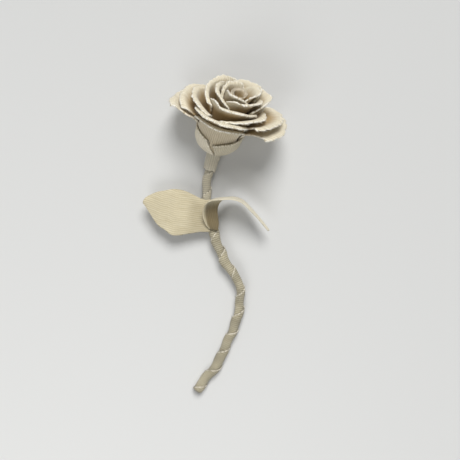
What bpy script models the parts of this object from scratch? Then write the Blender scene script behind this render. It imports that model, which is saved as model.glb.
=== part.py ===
"""Cloth rose: a rolled bud in rings of petals, base covers, leaves and a bent stem wrapped in cloth."""
import math

import bpy
import numpy as np

# Lengths are in millimetres and turned into metres when a mesh is made.
MM = 0.001

# Cloth
CLOTH = 1.2            # thickness of the canvas

# Bloom placement: its axis leans to the right and rises from the floor, and bends to the right
BLOOM_FOOT = (1.0, 3.7, 3.0)
BLOOM_LEAN = 15.0
BLOOM_RISE = 39.0
BLOOM_BEND = 10.0      # sideways shift of the bud's top

# Bulb, the rounded lower part of the bloom
BULB_CENTRE = 17.0     # height of the widest part above the foot
BULB_RADIUS = 21.4     # middle of the outermost cloth
BULB_DEPTH = 0.85      # height to radius of the rounded bottom
FOOT_RADIUS = 0.3692 * BULB_RADIUS   # the petals start here, round the stem
RING_PITCH = BULB_RADIUS / 10.7      # distance between the petal rings at the widest part
RING_LAST = 6          # number of the outermost ring

# Rolled bud in the middle
BUD_BOTTOM = 2.5
BUD_TOP = 64.0
BUD_HOLE_BOTTOM = 2.7
BUD_HOLE_TOP = 4.9
BUD_TURN = 1.7         # spacing of the turns
BUD_TURNS = 1.6

# Petals
CLAW = 0.3             # width of a petal at its foot against its full width
INNER_SPREAD = 56.0    # widest half angle of an inner petal inside the bulb
PINWHEEL = 1.15        # how far one side of an inner petal stands out over its neighbour

# Rows of faces along a petal, in the bulb and above it
BOWL_ROWS = 4
RISE_ROWS = 4
SWING_HEIGHT = 26.0    # a cover's side has swung back at this height
COVER_RIM = BULB_RADIUS + 0.8        # radius of a cover at its rim

# Stem
WIRE_RADIUS = 1.2
WIRE_CLEARANCE = 0.35
WIRE_INTO_BUD = 26.0
WRAP_LAP = 0.5         # step where one turn of the strip lies on the one before
WRAP_PITCH = 20.0
END_FLAT = 3.6         # radius of the flat cut end
END_COVER = 2.0        # cloth folded over the end of the wire

# Collar under the bloom
COLLAR_LENGTH = 21.0
COLLAR_RINGS = 8
COLLAR_HOLE = 4.55
COLLAR_RADIUS_TOP = 6.8
COLLAR_RADIUS_END = 5.85

# How the finished rose has come to rest on its back petals and the stem's end
REST_PITCH = -3.18
REST_ROLL = 1.22

# Middle of the stem from the foot of the bloom to the cut end, measured from the foot
STEM_LINE = [
    BLOOM_FOOT, (-4.4, -15.1, -9.6), (-6.8, -24.3, -12.3), (-7.3, -33.6, -13.5),
    (-6.8, -43.0, -14.0), (-4.9, -57.1, -14.0), (-0.7, -73.0, -14.0), (3.5, -85.2, -14.0),
    (9.6, -99.3, -14.5), (15.7, -108.7, -15.0), (21.8, -118.1, -16.0), (24.7, -127.6, -17.0),
    (24.2, -137.1, -18.0), (22.3, -151.4, -19.5), (17.6, -165.7, -21.0), (11.0, -180.0, -22.5),
    (4.8, -194.5, -24.0), (-1.4, -204.1, -25.0), (-9.9, -213.7, -26.0), (-16.2, -223.4, -26.5)]

# Distance down the stem and radius of the wrapping there, without the lap
STEM_GIRTH = [
    (0, 3.7), (50, 3.8), (76, 4.0), (82, 4.6), (88, 4.5), (94, 3.9), (110, 4.1), (128, 3.8), (150, 3.7),
    (172, 4.0), (190, 3.7), (206, 4.0), (218, 4.4), (226, 3.9), (244, 4.3), (300, 4.4)]

# Left leaf: upper and lower edge from the stem to the tip
LEFT_UPPER = [
    (-3.9, -43.6, -8.6), (-8.5, -43.2, -7.9), (-13.2, -41.8, -8.2), (-19.7, -38.5, -7.6),
    (-25.3, -35.8, -7.0), (-31.7, -33.9, -6.5), (-39.2, -33.5, -6.0), (-45.6, -34.9, -5.5),
    (-53.0, -36.3, -5.0), (-59.5, -39.1, -4.5), (-63.6, -41.4, -4.0), (-65.7, -44.2, -4.0)]
LEFT_LOWER = [
    (-3.9, -72.5, -8.6), (-8.5, -72.6, -8.6), (-13.2, -72.6, -8.6), (-19.7, -73.7, -8.0),
    (-25.3, -74.5, -7.5), (-31.7, -75.6, -7.0), (-39.2, -75.6, -6.5), (-45.6, -70.9, -6.0),
    (-53.0, -65.6, -5.5), (-59.5, -55.8, -5.0), (-63.6, -48.9, -4.5), (-65.7, -46.5, -4.0)]

# Right leaf: near and far edge from the stem over the arch to the tip
RIGHT_NEAR = [
    (-4.6, -69.8, -6.6), (-8.6, -64.0, -3.5), (-10.2, -55.4, 2.0), (-7.7, -47.7, 9.0),
    (-2.2, -44.5, 14.0), (6.0, -43.8, 17.0), (16.0, -43.6, 17.0), (25.4, -46.6, 15.0),
    (33.6, -54.0, 10.5), (42.2, -62.4, 4.5), (50.4, -71.8, -2.0)]
RIGHT_FAR = [
    (3.4, -71.6, -6.9), (4.1, -64.6, -4.0), (3.0, -53.4, -1.0), (5.0, -46.2, -3.5),
    (10.6, -41.6, -8.0), (18.2, -40.4, -10.0), (27.2, -43.3, -11.0), (35.4, -51.2, -11.0),
    (43.3, -60.5, -8.0), (50.8, -71.0, -4.0)]

# Petals from the inside out. ring counts the layers from the bud; angle 0 is right and -90 front;
# lip_radius and lip_height place the rim, and lean and drop add to them from one side to the other;
# half_width is half of the cloth's width; limit is the widest half angle it may take;
# slope is the rise of the cloth at its rim in degrees, upright how straight it leaves the bulb;
# lip is the length that curls outward and turn how far it curls in degrees;
# corner is the share of the height lost at the sides and cut the share of the curve that is used
PETALS = [
    dict(name="petal_bud_front", ring=0, angle=-105, lip_radius=13.2, lip_height=66, lean=0, drop=0,
         half_width=17, limit=71, slope=74, upright=0.75, lip=4, turn=75, corner=0.2, cut=1),
    dict(name="petal_bud_right", ring=0, angle=15, lip_radius=13.2, lip_height=66, lean=0, drop=0,
         half_width=17, limit=71, slope=74, upright=0.75, lip=4, turn=75, corner=0.2, cut=1),
    dict(name="petal_bud_back", ring=0, angle=135, lip_radius=13.2, lip_height=66, lean=0, drop=0,
         half_width=17, limit=71, slope=74, upright=0.75, lip=4, turn=75, corner=0.2, cut=0.97),
    dict(name="petal_heart_right", ring=1, angle=-50, lip_radius=19, lip_height=64, lean=0, drop=0,
         half_width=24, limit=71, slope=66, upright=0.75, lip=4.5, turn=75, corner=0.2, cut=1),
    dict(name="petal_heart_back", ring=1, angle=70, lip_radius=19, lip_height=64, lean=0, drop=0,
         half_width=24, limit=71, slope=66, upright=0.75, lip=4.5, turn=75, corner=0.2, cut=0.98),
    dict(name="petal_heart_left", ring=1, angle=190, lip_radius=19, lip_height=64, lean=0, drop=0,
         half_width=24, limit=71, slope=66, upright=0.75, lip=4.5, turn=75, corner=0.2, cut=1),
    dict(name="petal_inner_front", ring=2, angle=-90, lip_radius=26, lip_height=61, lean=0, drop=0,
         half_width=29, limit=70, slope=60, upright=0.75, lip=5, turn=75, corner=0.2, cut=0.92),
    dict(name="petal_inner_right", ring=2, angle=30, lip_radius=26, lip_height=61, lean=0, drop=0,
         half_width=29, limit=70, slope=60, upright=0.75, lip=5, turn=75, corner=0.2, cut=0.95),
    dict(name="petal_inner_left", ring=2, angle=150, lip_radius=26, lip_height=61, lean=0, drop=0,
         half_width=29, limit=70, slope=60, upright=0.75, lip=5, turn=75, corner=0.2, cut=1),
    dict(name="petal_middle_right", ring=3, angle=-48, lip_radius=29.8, lip_height=53, lean=0, drop=0,
         half_width=27, limit=53, slope=52, upright=0.75, lip=4.5, turn=70, corner=0.2, cut=1),
    dict(name="petal_middle_left", ring=3, angle=190, lip_radius=33, lip_height=52, lean=-4, drop=0,
         half_width=27, limit=45, slope=46, upright=0.75, lip=5, turn=75, corner=0.2, cut=1),
    dict(name="petal_middle_back", ring=3, angle=70.5, lip_radius=31, lip_height=50, lean=0, drop=0,
         half_width=27, limit=53, slope=50, upright=0.75, lip=4.5, turn=70, corner=0.2, cut=1),
    dict(name="petal_upper_front", ring=4, angle=-104, lip_radius=33, lip_height=50, lean=0, drop=0,
         half_width=29, limit=51, slope=46, upright=0.75, lip=5, turn=75, corner=0.18, cut=1),
    dict(name="petal_upper_right", ring=4, angle=-2.5, lip_radius=42, lip_height=48, lean=3, drop=-3,
         half_width=27, limit=41, slope=30, upright=1.42, lip=5, turn=70, corner=0.15, cut=1),
    dict(name="petal_upper_left", ring=4, angle=158, lip_radius=43, lip_height=45, lean=0, drop=0,
         half_width=27, limit=43, slope=30, upright=1.25, lip=5, turn=70, corner=0.2, cut=1),
    dict(name="petal_upper_back", ring=4, angle=78.5, lip_radius=40, lip_height=43, lean=0, drop=0,
         half_width=27, limit=32, slope=30, upright=1.3, lip=5, turn=70, corner=0.2, cut=1),
    dict(name="petal_outer_left", ring=5, angle=152, lip_radius=50, lip_height=35, lean=-2, drop=4,
         half_width=31, limit=50, slope=14, upright=1.5, lip=5, turn=60, corner=0.08, cut=1),
    dict(name="petal_outer_right", ring=5, angle=8, lip_radius=50, lip_height=39, lean=2, drop=0,
         half_width=31, limit=36, slope=14, upright=1.55, lip=5, turn=60, corner=0.2, cut=1),
    dict(name="petal_outer_front", ring=5, angle=-99, lip_radius=29, lip_height=41, lean=0, drop=0,
         half_width=30, limit=56, slope=50, upright=0.75, lip=5, turn=80, corner=0.34, cut=1),
    dict(name="petal_back_right", ring=6, angle=55, lip_radius=47, lip_height=29, lean=-6, drop=0,
         half_width=29, limit=37, slope=4, upright=0.75, lip=5, turn=60, corner=0.2, cut=1),
    dict(name="petal_back_left", ring=6, angle=134, lip_radius=47, lip_height=29, lean=8, drop=0,
         half_width=29, limit=37, slope=4, upright=0.75, lip=5, turn=60, corner=0.2, cut=1),
]

# Covers over the bulb, with plain rims. swing turns a side's foot to the right, in degrees, and
# slant raises the right side of the rim and lowers the left
COVERS = [
    dict(name="cover_left", ring=6, angle=-151, lip_radius=COVER_RIM, lip_height=21, lean=0, drop=-1,
         half_width=22, limit=34, slope=84, upright=0.75, lip=1.5, turn=5, corner=0.34, cut=1,
         swing_left=0, swing_right=30, slant=0),
    dict(name="cover_right", ring=6, angle=-57, lip_radius=COVER_RIM, lip_height=21, lean=0, drop=3,
         half_width=22, limit=41, slope=84, upright=0.75, lip=1.5, turn=5, corner=0.25, cut=1,
         swing_left=18, swing_right=0, slant=0.15),
]


def clear_scene():
    for item in list(bpy.data.objects):
        bpy.data.objects.remove(item)


def smooth_step(low, high, value):
    t = np.clip((value - low) / (high - low), 0.0, 1.0)
    return t * t * (3.0 - 2.0 * t)


def unit(vectors):
    length = np.linalg.norm(vectors, axis=-1, keepdims=True)
    return vectors / np.maximum(length, 1e-9)


def smooth_line(points, count):
    """Evenly spaced points on a smooth curve through the given ones."""
    p = np.array(points, dtype=float)
    first = 2 * p[0] - p[1]
    last = 2 * p[-1] - p[-2]
    p = np.vstack([first, p, last])
    dense = []
    for i in range(1, len(p) - 2):
        for t in np.linspace(0.0, 1.0, 16, endpoint=False):
            a = 2 * p[i] + (p[i + 1] - p[i - 1]) * t
            b = (2 * p[i - 1] - 5 * p[i] + 4 * p[i + 1] - p[i + 2]) * t * t
            c = (3 * p[i] - p[i - 1] - 3 * p[i + 1] + p[i + 2]) * t ** 3
            dense.append((a + b + c) / 2)
    dense.append(p[-2])
    dense = np.array(dense)
    run = np.concatenate([[0], np.cumsum(np.linalg.norm(np.diff(dense, axis=0), axis=1))])
    at = np.linspace(0, run[-1], count)
    return np.stack([np.interp(at, run, dense[:, k]) for k in range(3)], axis=1)


def bloom_axes():
    lean = math.radians(BLOOM_LEAN)
    rise = math.radians(BLOOM_RISE)
    up = np.array([math.cos(rise) * math.sin(lean), math.cos(rise) * math.cos(lean), math.sin(rise)])
    right = np.array([math.cos(lean), -math.sin(lean), 0.0])
    back = np.cross(up, right)
    return right, back, up


def bloom_point(radius, angle, height):
    right, back, up = bloom_axes()
    height = np.asarray(height, dtype=float)
    x = (radius * np.cos(angle) + BLOOM_BEND * (height / BUD_TOP) ** 2)[..., None] * right
    y = (radius * np.sin(angle))[..., None] * back
    return np.array(BLOOM_FOOT) + x + y + height[..., None] * up


def rest_matrix():
    pitch = math.radians(REST_PITCH)
    roll = math.radians(REST_ROLL)
    about_x = np.array([[1, 0, 0],
                        [0, math.cos(pitch), -math.sin(pitch)],
                        [0, math.sin(pitch), math.cos(pitch)]])
    about_y = np.array([[math.cos(roll), 0, math.sin(roll)],
                        [0, 1, 0],
                        [-math.sin(roll), 0, math.cos(roll)]])
    return about_y @ about_x


def add_body(name, points, faces, colour, roughness, metallic=0.0):
    turned = points @ rest_matrix().T * MM
    mesh = bpy.data.meshes.new(name)
    mesh.from_pydata(turned.tolist(), [], faces)
    mesh.polygons.foreach_set("use_smooth", [len(f) == 4 for f in faces])
    material = bpy.data.materials.new(name + "_finish")
    material.use_nodes = True
    shader = material.node_tree.nodes["Principled BSDF"]
    shader.inputs["Base Color"].default_value = (*colour, 1.0)
    shader.inputs["Roughness"].default_value = roughness
    shader.inputs["Metallic"].default_value = metallic
    mesh.materials.append(material)
    body = bpy.data.objects.new(name, mesh)
    bpy.context.scene.collection.objects.link(body)
    return body


def grid_normals(grid):
    return unit(np.cross(np.gradient(grid, axis=0), np.gradient(grid, axis=1)))


def sheet_body(grid, thickness):
    """Closed body of a sheet whose middle surface is a grid of points."""
    rows, columns = grid.shape[:2]
    shift = grid_normals(grid) * thickness / 2
    points = np.concatenate([(grid + shift).reshape(-1, 3), (grid - shift).reshape(-1, 3)])
    index = np.arange(rows * columns).reshape(rows, columns)
    under = index + rows * columns
    faces = []
    for i in range(rows - 1):
        for j in range(columns - 1):
            faces.append((index[i, j], index[i + 1, j], index[i + 1, j + 1], index[i, j + 1]))
            faces.append((under[i, j], under[i, j + 1], under[i + 1, j + 1], under[i + 1, j]))
    rim = list(index[0, :]) + list(index[1:, -1]) + list(index[-1, -2::-1]) + list(index[-2:0:-1, 0])
    for a, b in zip(rim, rim[1:] + rim[:1]):
        faces.append((a, b, b + rows * columns, a + rows * columns))
    return points, [tuple(int(k) for k in f) for f in faces]


def bowl_line(spec):
    """Rounded lower part of a petal, as radius and height."""
    belly = BULB_RADIUS - (RING_LAST - spec["ring"]) * RING_PITCH
    low = math.acos(FOOT_RADIUS / belly)
    turn = np.linspace(-low, 0.0, BOWL_ROWS)
    return np.stack([belly * np.cos(turn), BULB_CENTRE + BULB_DEPTH * belly * np.sin(turn)], axis=1)


def rise_line(spec, belly, across):
    """Curve from the widest part of the bulb to the rim; across runs from -1 to 1 over the petal."""
    rim = np.array([spec["lip_radius"] + spec["lean"] * across, spec["lip_height"] + spec["drop"] * across])
    reach = np.linalg.norm(rim - belly)
    slope = math.radians(spec["slope"])
    start = np.array([0.0, reach * spec["upright"]])
    end = np.array([math.cos(slope), math.sin(slope)]) * reach * 0.9
    t = np.linspace(0, 1, 25)[:, None]
    return ((2 * t ** 3 - 3 * t ** 2 + 1) * belly + (t ** 3 - 2 * t ** 2 + t) * start
            + (3 * t ** 2 - 2 * t ** 3) * rim + (t ** 3 - t ** 2) * end)


def petal_grid(spec, columns, lip_rows):
    inner = spec["ring"] < 3
    bowl = bowl_line(spec)
    share = np.concatenate([np.zeros(BOWL_ROWS), np.linspace(0, 1, RISE_ROWS + 1)[1:], np.ones(lip_rows)])
    grid = np.zeros((len(share), columns, 3))
    for j, u in enumerate(np.linspace(-1, 1, columns)):
        rise = rise_line(spec, bowl[-1], u)
        run = np.concatenate([[0], np.cumsum(np.linalg.norm(np.diff(rise, axis=0), axis=1))])
        slopes = unit(np.gradient(rise, axis=0))
        corner = spec["cut"] * (1.0 - spec["corner"] * abs(u) ** 2.6) + spec.get("slant", 0.0) * (u - 1.0)
        at = np.linspace(0, corner, RISE_ROWS + 1)[1:] * run[-1]
        # The lip turns outward, but not where the neighbour lies over it
        free = smooth_step(-0.8, -0.3, u) if inner else 1.0
        more = np.linspace(0, spec["lip"], lip_rows + 1)[1:]
        turn = math.radians(spec["turn"] * free) * more / spec["lip"]
        follow = at[-1] + more * (1.0 - free)
        at = np.concatenate([at, np.minimum(follow, run[-1])])
        line = np.stack([np.interp(at, run, rise[:, k]) for k in range(2)], axis=1)
        along = np.stack([np.interp(at, run, slopes[:, k]) for k in range(2)], axis=1)
        tangent = along[RISE_ROWS - 1].copy()
        outward = np.array([tangent[1], -tangent[0]])
        bend = np.maximum(turn, 1e-3)[:, None]
        curl = (more[:, None] / bend) * (np.sin(bend) * tangent + (1 - np.cos(bend)) * outward)
        line[RISE_ROWS:] = line[RISE_ROWS:] + free * curl
        line = np.concatenate([bowl, line])
        along = unit(np.gradient(line, axis=0))
        stand_out = 0.0 * share
        if inner:
            stand_out = PINWHEEL * u * smooth_step(0.05, 0.35, share * corner)
        line = line + stand_out[:, None] * np.stack([along[:, 1], -along[:, 0]], axis=1)
        climb = np.concatenate([[0], np.cumsum(np.linalg.norm(np.diff(line, axis=0), axis=1))])
        width = spec["half_width"] * (CLAW + (1 - CLAW) * smooth_step(0.0, 0.6, climb / climb[-1]))
        widest = spec["limit"] + 0.0 * share
        if inner:
            widest = INNER_SPREAD + (spec["limit"] - INNER_SPREAD) * smooth_step(0.4, 0.6, share)
        half = np.minimum(width / line[:, 0], np.radians(widest))
        swing = spec.get("swing_right", 0.0) * max(u, 0.0) + spec.get("swing_left", 0.0) * max(-u, 0.0)
        angle = np.radians(spec["angle"] + swing * (1.0 - smooth_step(0.0, SWING_HEIGHT, line[:, 1])))
        grid[:, j] = bloom_point(line[:, 0], angle + half * u, line[:, 1])
    return grid


def add_petals():
    for spec in PETALS:
        grid = petal_grid(spec, 9, 2)
        points, faces = sheet_body(grid, CLOTH)
        add_body(spec["name"], points, faces, (0.72, 0.66, 0.52), 0.9)
    for spec in COVERS:
        grid = petal_grid(spec, 9, 1)
        points, faces = sheet_body(grid, CLOTH)
        add_body(spec["name"], points, faces, (0.42, 0.37, 0.27), 0.9)


def add_bud():
    turns = np.linspace(0, BUD_TURNS, 30)[None, :]
    height = np.linspace(BUD_BOTTOM, BUD_TOP, 6)[:, None]
    hole = BUD_HOLE_BOTTOM + (BUD_HOLE_TOP - BUD_HOLE_BOTTOM) * (height - BUD_BOTTOM) / (BUD_TOP - BUD_BOTTOM)
    radius = hole + BUD_TURN * turns
    grid = bloom_point(radius, turns * 2 * math.pi, height + 0 * turns)
    points, faces = sheet_body(grid, CLOTH)
    add_body("rolled_bud", points, faces, (0.55, 0.48, 0.35), 0.9)


def add_leaves():
    upper = smooth_line(LEFT_UPPER, 13)
    lower = smooth_line(LEFT_LOWER, 13)
    across = np.linspace(0, 1, 7)[:, None, None]
    grid = upper[None] * (1 - across) + lower[None] * across
    swell = np.sin(across[..., 0] * math.pi) * np.linspace(0.2, 1.0, 13)[None, :]
    grid[..., 2] += 1.2 * swell
    points, faces = sheet_body(grid, CLOTH)
    add_body("leaf_left", points, faces, (0.61, 0.54, 0.38), 0.9)
    near = smooth_line(RIGHT_NEAR, 19)
    far = smooth_line(RIGHT_FAR, 19)
    grid = near[None] * (1 - across) + far[None] * across
    points, faces = sheet_body(grid, CLOTH)
    add_body("leaf_right", points, faces, (0.61, 0.54, 0.38), 0.9)


def path_frames(line):
    """Two directions across a path that don't twist along it."""
    along = unit(np.gradient(line, axis=0))
    side = np.zeros_like(line)
    start = np.array([1.0, 0.0, 0.0])
    for i, direction in enumerate(along):
        start = start - direction * np.dot(start, direction)
        start = start / np.linalg.norm(start)
        side[i] = start
    return along, side, np.cross(along, side)


def ring_points(centre, side, other, radii):
    angle = np.linspace(0, 2 * math.pi, len(radii), endpoint=False)
    return centre + (np.cos(angle) * radii)[:, None] * side + (np.sin(angle) * radii)[:, None] * other


def rings_body(rings):
    """Closed body through rings of points, flat at the first and last."""
    count = len(rings[0])
    points = np.concatenate(rings)
    faces = []
    for i in range(len(rings) - 1):
        for j in range(count):
            k = (j + 1) % count
            faces.append((i * count + j, i * count + k, (i + 1) * count + k, (i + 1) * count + j))
    faces.append(tuple(reversed(range(count))))
    faces.append(tuple(range((len(rings) - 1) * count, len(rings) * count)))
    return points, faces


def add_stem():
    around = 16
    line = smooth_line(STEM_LINE, 84)
    girth = np.array(STEM_GIRTH)
    along, side, other = path_frames(line)
    run = np.concatenate([[0], np.cumsum(np.linalg.norm(np.diff(line, axis=0), axis=1))])
    turn = np.arange(around) / around

    # Wire, from inside the folded end up into the bud
    up = bloom_axes()[2]
    in_bud = bloom_point(np.zeros(3), np.zeros(3), np.array([1.0, 0.66, 0.33]) * WIRE_INTO_BUD)
    in_end = line[-1] - along[-1] * (END_COVER + WIRE_CLEARANCE)
    wire = np.concatenate([in_bud, line[:-3:2], in_end[None]])
    wire_side, wire_other = path_frames(wire)[1:]
    radii = np.full(10, WIRE_RADIUS)
    rings = [ring_points(wire[i], wire_side[i], wire_other[i], radii) for i in range(len(wire))]
    points, faces = rings_body(rings)
    add_body("stem_wire", points, faces, (0.35, 0.35, 0.35), 0.4, 1.0)

    # Strip wound round the wire: up the bore to the bloom, then down the outside to the cut end
    bore = np.full(around, WIRE_RADIUS + WIRE_CLEARANCE)
    floor_point = line[-1] - along[-1] * END_COVER
    rings = [ring_points(floor_point, side[-1], other[-1], bore)]
    for i in range(len(line) - 4, -1, -2):
        rings.append(ring_points(line[i], side[i], other[i], bore))
    for i in range(len(line)):
        wide = np.interp(run[i], girth[:, 0], girth[:, 1])
        lap = WRAP_LAP * ((turn + run[i] / WRAP_PITCH) % 1.0) * smooth_step(2, 24, run[i])
        radii = wide + lap
        if i == len(line) - 1:
            radii = np.full(around, END_FLAT)
        rings.append(ring_points(line[i], side[i], other[i], radii))
    points, faces = rings_body(rings)
    add_body("stem_wrap", points, faces, (0.33, 0.29, 0.20), 0.9)

    # Collar, the wider end of the wrapping under the bloom
    down = np.linspace(0, COLLAR_LENGTH, COLLAR_RINGS)
    tables = []
    for first, table in ((line[0] + up, line), (side[0], side), (other[0], other)):
        between = np.stack([np.interp(down, run, table[:, k]) for k in range(3)], axis=1)
        tables.append(np.vstack([first, between]))
    centres, sides, others = tables
    outside = []
    inside = []
    for k, centre in enumerate(centres):
        part = k / (len(centres) - 1)
        wide = COLLAR_RADIUS_TOP + (COLLAR_RADIUS_END - COLLAR_RADIUS_TOP) * part
        outside.append(ring_points(centre, sides[k], others[k], np.full(around, wide)))
        inside.append(ring_points(centre, sides[k], others[k], np.full(around, COLLAR_HOLE)))
    rings = outside + inside[::-1]
    points = np.concatenate(rings)
    count = len(rings)
    faces = []
    for i in range(count):
        m = (i + 1) % count
        for j in range(around):
            k = (j + 1) % around
            faces.append((i * around + j, i * around + k, m * around + k, m * around + j))
    add_body("collar", points, faces, (0.36, 0.32, 0.22), 0.9)


def place_on_floor():
    """Centre the footprint and set the lowest point on the floor."""
    bodies = [item for item in bpy.data.objects if item.type == "MESH"]
    corners = []
    for body in bodies:
        flat = np.empty(len(body.data.vertices) * 3)
        body.data.vertices.foreach_get("co", flat)
        corners.append(flat.reshape(-1, 3))
    everything = np.concatenate(corners)
    low, high = everything.min(axis=0), everything.max(axis=0)
    shift = np.array([(low[0] + high[0]) / 2, (low[1] + high[1]) / 2, low[2]])
    for body, points in zip(bodies, corners):
        body.data.vertices.foreach_set("co", (points - shift).ravel())
        body.data.update()


clear_scene()
add_bud()
add_petals()
add_leaves()
add_stem()
place_on_floor()
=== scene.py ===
import math

import bpy
import numpy as np
from mathutils import Matrix, Vector


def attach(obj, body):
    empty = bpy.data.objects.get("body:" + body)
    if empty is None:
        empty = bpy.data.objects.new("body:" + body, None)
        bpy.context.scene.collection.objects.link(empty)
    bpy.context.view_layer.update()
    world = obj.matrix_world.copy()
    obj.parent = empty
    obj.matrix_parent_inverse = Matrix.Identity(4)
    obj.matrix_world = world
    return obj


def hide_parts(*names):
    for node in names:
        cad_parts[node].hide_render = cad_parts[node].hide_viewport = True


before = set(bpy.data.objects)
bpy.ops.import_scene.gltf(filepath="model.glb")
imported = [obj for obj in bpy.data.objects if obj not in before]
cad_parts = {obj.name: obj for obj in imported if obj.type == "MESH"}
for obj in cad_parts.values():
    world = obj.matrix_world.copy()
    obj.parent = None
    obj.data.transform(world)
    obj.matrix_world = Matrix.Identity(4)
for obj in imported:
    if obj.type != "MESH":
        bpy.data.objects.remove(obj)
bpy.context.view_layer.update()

print("frame loaded")

# Lengths are in millimetres, turned into metres when a mesh is made.
# Points are first laid out with the bloom's foot near the origin, then settled on the floor.
lying = dict(pitch=-3.18, roll=1.22, shift=(0.016, -78.936, -18.508))
bloom = dict(foot=(1.0, 3.7, 3.0), lean=15.0, rise=39.0, bend=10.0, top=64.0)
bulb = dict(centre=17.0, radius=21.4, depth=0.85, foot=7.9, ringGap=2.0, lastRing=6)
cloth = dict(thickness=1.15, rimThickness=1.5, claw=0.3, innerSpread=56.0, standOut=1.15)


def unit(vectors):
    return vectors / np.maximum(np.linalg.norm(vectors, axis=-1, keepdims=True), 1e-9)


def smoothStep(low, high, value):
    t = np.clip((value - low) / (high - low), 0.0, 1.0)
    return t * t * (3.0 - 2.0 * t)


def runAlong(line):
    return np.concatenate([[0], np.cumsum(np.linalg.norm(np.diff(line, axis=0), axis=1))])


def smoothLine(points, count):
    # evenly spaced points on a smooth curve through the given ones
    p = np.array(points, dtype=float)
    p = np.vstack([2 * p[0] - p[1], p, 2 * p[-1] - p[-2]])
    dense = []
    for i in range(1, len(p) - 2):
        for t in np.linspace(0.0, 1.0, 16, endpoint=False):
            a = 2 * p[i] + (p[i + 1] - p[i - 1]) * t
            b = (2 * p[i - 1] - 5 * p[i] + 4 * p[i + 1] - p[i + 2]) * t * t
            c = (3 * p[i] - p[i - 1] - 3 * p[i + 1] + p[i + 2]) * t ** 3
            dense.append((a + b + c) / 2)
    dense.append(p[-2])
    dense = np.array(dense)
    run = runAlong(dense)
    at = np.linspace(0, run[-1], count)
    return np.stack([np.interp(at, run, dense[:, k]) for k in range(3)], axis=1)


def wander(seed, x, y=0.0, waves=5, slow=1.0, fast=4.0):
    # smooth repeatable unevenness, about -1 to 1
    dice = np.random.default_rng(seed)
    total = 0.0
    for k in range(waves):
        rate = dice.uniform(slow, fast)
        turn = dice.uniform(0, 2 * math.pi)
        total = total + np.sin(rate * (math.cos(turn) * x + math.sin(turn) * y) + dice.uniform(0, 6.28))
    return total / waves ** 0.5


def lyingTurn():
    roll = Matrix.Rotation(math.radians(lying["roll"]), 3, "Y")
    pitch = Matrix.Rotation(math.radians(lying["pitch"]), 3, "X")
    return np.array(roll @ pitch)


def settle(points):
    return (points @ lyingTurn().T - np.array(lying["shift"])) * 0.001


# The petals under the bloom are pressed flatter where they lie on the floor, in metres
floorPress = dict(below=0.0015, reach=0.0029)


def press(points):
    low, reach = floorPress["below"], floorPress["reach"]
    z = points[:, 2]
    pressed = low * (z + reach) / (low + reach)
    return np.column_stack([points[:, :2], np.where(z < low, pressed, z)])


def bloomPoint(radius, angle, height):
    lean = math.radians(bloom["lean"])
    rise = math.radians(bloom["rise"])
    up = np.array([math.cos(rise) * math.sin(lean), math.cos(rise) * math.cos(lean), math.sin(rise)])
    right = np.array([math.cos(lean), -math.sin(lean), 0.0])
    back = np.cross(up, right)
    height = np.asarray(height, dtype=float)
    x = (radius * np.cos(angle) + bloom["bend"] * (height / bloom["top"]) ** 2)[..., None] * right
    y = (radius * np.sin(angle))[..., None] * back
    return np.array(bloom["foot"]) + x + y + height[..., None] * up


def linear(code):
    # sRGB hex to the linear colour that a shader takes
    parts = [int(code[i:i + 2], 16) / 255 for i in (1, 3, 5)]
    return tuple(c / 12.92 if c <= 0.04045 else ((c + 0.055) / 1.055) ** 2.4 for c in parts) + (1.0,)


def addNode(tree, kind, links=(), **settings):
    # one node: settings by name, numbers on inputs by their place, links as (input, socket)
    node = tree.nodes.new(kind)
    for key, value in settings.items():
        if key.startswith("in"):
            node.inputs[int(key[2:])].default_value = value
        else:
            setattr(node, key, value)
    for place, socket in links:
        tree.links.new(socket, node.inputs[place])
    return node


# Heavy cotton canvas, woven with a round rib about every 1.8 mm and left unbleached: it gives the
# eye fine cords with dark valleys, flecks of husk, a dull face with a little fuzz and pale raw edges.
# shade is the tint that the painted shade multiplies in
canvasLooks = {
    "petalCanvas": dict(light="#F3EBD6", deep="#C3B696", raw="#FDF9ED", shade=(0.58, 0.44, 0.25),
                        rib=1.8, pick=1.2, depth=0.6, blotch=0.10),
    "coverCanvas": dict(light="#EAE1CA", deep="#ABA080", raw="#F4ECD8", shade=(0.7, 0.65, 0.5),
                        rib=1.9, pick=1.2, depth=0.75, blotch=0.16),
    "leafCanvas": dict(light="#D6CCB1", deep="#B1A683", raw="#F2EDDD", shade=(0.34, 0.30, 0.23),
                       rib=1.85, pick=1.0, depth=0.35, blotch=0.08),
    "stemCanvas": dict(light="#C4BCA3", deep="#6D634A", raw="#EAE3D1", shade=(0.7, 0.65, 0.5),
                       rib=1.85, pick=1.2, depth=0.9, blotch=0.3),
}


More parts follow.
